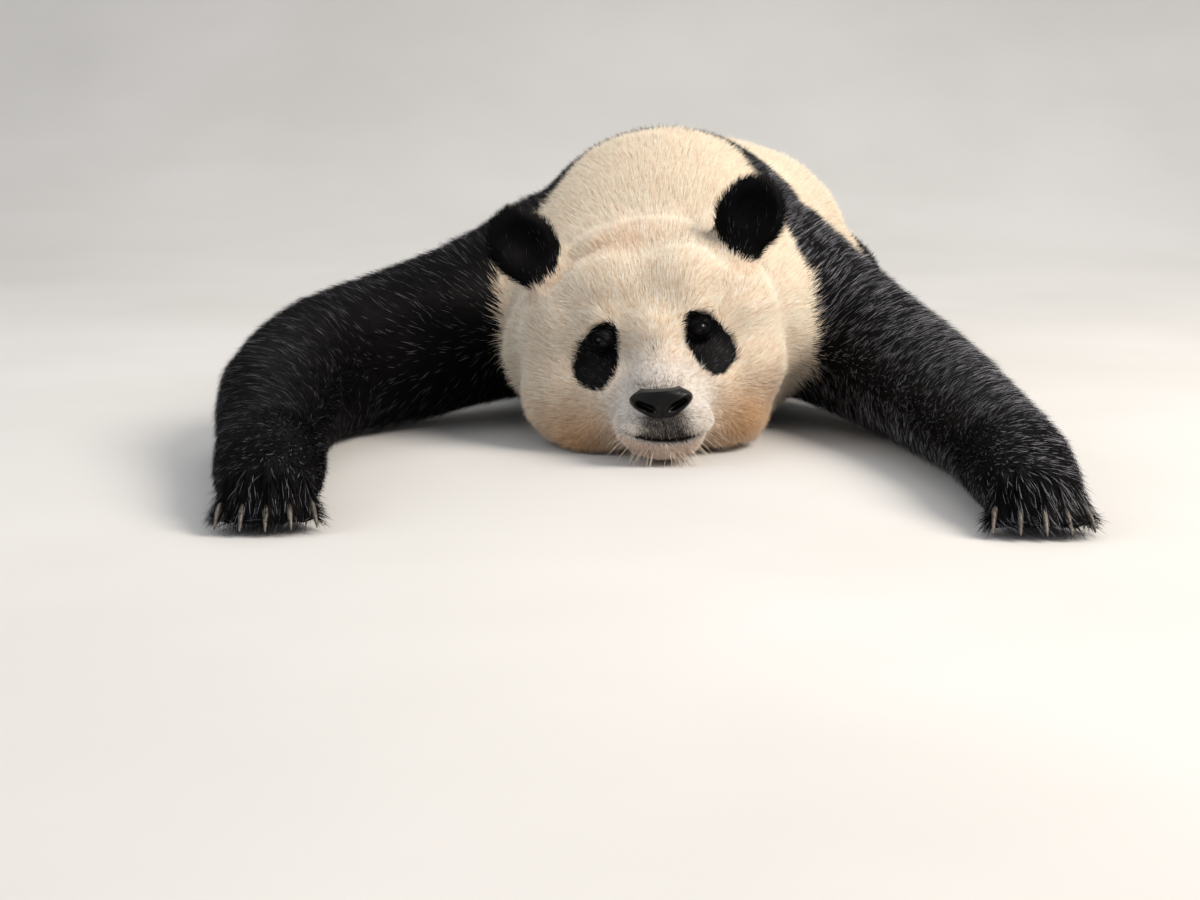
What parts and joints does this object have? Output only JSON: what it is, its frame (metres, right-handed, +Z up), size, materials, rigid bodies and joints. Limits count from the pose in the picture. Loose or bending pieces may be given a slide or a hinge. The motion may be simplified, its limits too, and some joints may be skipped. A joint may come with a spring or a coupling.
{
  "type": "giant panda",
  "caption": "Life-size giant panda lying flat on its belly, chin on the floor, forelegs laid out in front and hind legs trailing behind.",
  "frame": {"origin": "centre of the base of the bounding box, on the floor it lies on", "axes": "+Z up, the face looks along -Y, the panda's left side is at +X"},
  "size_m": [0.8816, 1.9848, 0.3468],
  "materials": {
    "cream_fur": "short plush cream-white fur, tan on the lower cheeks",
    "black_fur": "dense black fur with a slight gloss on the hair tips",
    "nose_skin": "pebbled, damp black nose skin",
    "eye": "wet, very dark brown",
    "claw": "satin ivory horn, darker at the root"
  },
  "bodies": {
    "root": {"claw_forepaw_left_1": "claw", "claw_forepaw_left_2": "claw", "claw_forepaw_left_3": "claw", "claw_forepaw_left_4": "claw", "claw_forepaw_left_5": "claw", "claw_forepaw_right_1": "claw", "claw_forepaw_right_2": "claw", "claw_forepaw_right_3": "claw", "claw_forepaw_right_4": "claw", "claw_forepaw_right_5": "claw", "claw_hindfoot_left_1": "claw", "claw_hindfoot_left_2": "claw", "claw_hindfoot_left_3": "claw", "claw_hindfoot_left_4": "claw", "claw_hindfoot_left_5": "claw", "claw_hindfoot_right_1": "claw", "claw_hindfoot_right_2": "claw", "claw_hindfoot_right_3": "claw", "claw_hindfoot_right_4": "claw", "claw_hindfoot_right_5": "claw", "ear_left": "black_fur", "ear_right": "black_fur", "eye_left": "eye", "eye_right": "eye", "foreleg_left": "black_fur", "foreleg_right": "black_fur", "forepaw_left": "black_fur", "forepaw_right": "black_fur", "head": "cream_fur", "hindfoot_left": "black_fur", "hindfoot_right": "black_fur", "hindleg_left": "black_fur", "hindleg_right": "black_fur", "neck": "cream_fur", "nose": "nose_skin", "shoulders": "black_fur", "tail": "cream_fur", "trunk": "cream_fur"}
  },
  "joints": []
}
